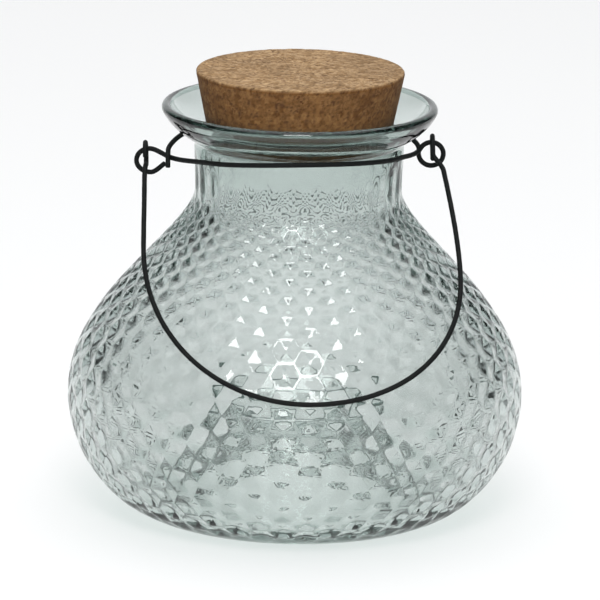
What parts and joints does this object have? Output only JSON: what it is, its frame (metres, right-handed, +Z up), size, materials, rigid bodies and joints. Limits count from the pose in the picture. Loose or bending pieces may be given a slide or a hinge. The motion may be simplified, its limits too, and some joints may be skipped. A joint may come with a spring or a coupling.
{
  "type": "wasp trap",
  "caption": "Hanging wasp trap: squat glass jar with an entry funnel in its base, a cork stopper, and a wire collar that carries a swinging wire bail.",
  "frame": {"origin": "centre of the jar's foot ring, on the plane that the jar stands on", "axes": "+Z up along the jar's axis, -Y towards the front where the bail hangs down, +X to the right seen from the front"},
  "size_m": [0.16, 0.1609, 0.1565],
  "materials": {
    "glass": "clear recycled glass with a faint grey-green tint and a honeycomb relief",
    "cork": "matte agglomerated cork",
    "wire": "satin black coated steel wire"
  },
  "bodies": {
    "jar": {"glass_jar": "glass"},
    "cork": {"cork_stopper": "cork"},
    "collar": {"neck_wire": "wire"},
    "bail": {"bail_handle": "wire"}
  },
  "joints": [
    {"name": "cork_lift", "type": "slide", "parent": "jar", "child": "cork", "axis": [0, 0, 1], "range_m": [0, 0.06]},
    {"name": "collar_turn", "type": "hinge", "parent": "jar", "child": "collar", "pos_m": [0, 0, 0.128], "axis": [0, 0, 1], "continuous": true},
    {"name": "bail_swing", "type": "hinge", "parent": "collar", "child": "bail", "pos_m": [-0.0035, 0, 0.12748], "axis": [-0.9992, 0, -0.0405], "range_deg": [0, 262]}
  ]
}
